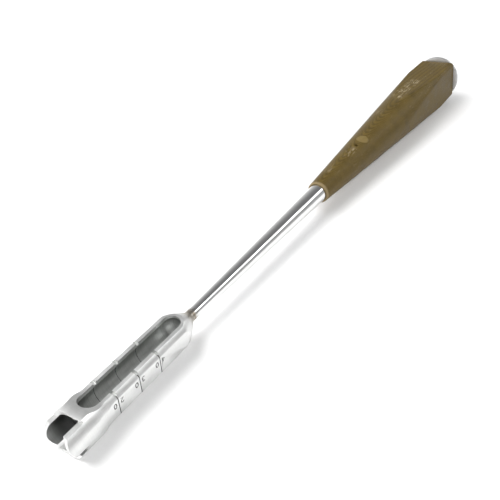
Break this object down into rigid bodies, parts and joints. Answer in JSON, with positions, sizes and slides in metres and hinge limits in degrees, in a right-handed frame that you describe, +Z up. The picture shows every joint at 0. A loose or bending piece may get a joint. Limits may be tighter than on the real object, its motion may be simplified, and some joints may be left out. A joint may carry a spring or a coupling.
{
  "type": "slotted impactor",
  "caption": "Surgical hand impactor: a slotted tube head with a forked mouth and a depth scale, on a tapered shaft with a flat-sided phenolic grip and a domed striking cap.",
  "frame": {"origin": "centre of the footprint, on the surface that the instrument lies on", "axes": "+X along the instrument from the fork to the cap, +Z up out of the head's window"},
  "size_m": [0.3126, 0.0246, 0.0246],
  "materials": {
    "satin_steel": "satin, fine blasted stainless steel",
    "polished_steel": "polished stainless steel",
    "phenolic": "satin laminated phenolic, worn",
    "pin_steel": "ground steel",
    "plug_resin": "satin resin",
    "cap_steel": "satin stainless steel"
  },
  "bodies": {
    "root": {"slotted_head": "satin_steel", "tapered_shaft": "polished_steel", "grip_handle": "phenolic", "cross_pin": "pin_steel", "pin_plug_top": "plug_resin", "pin_plug_bottom": "plug_resin", "striking_cap": "cap_steel"}
  },
  "joints": []
}
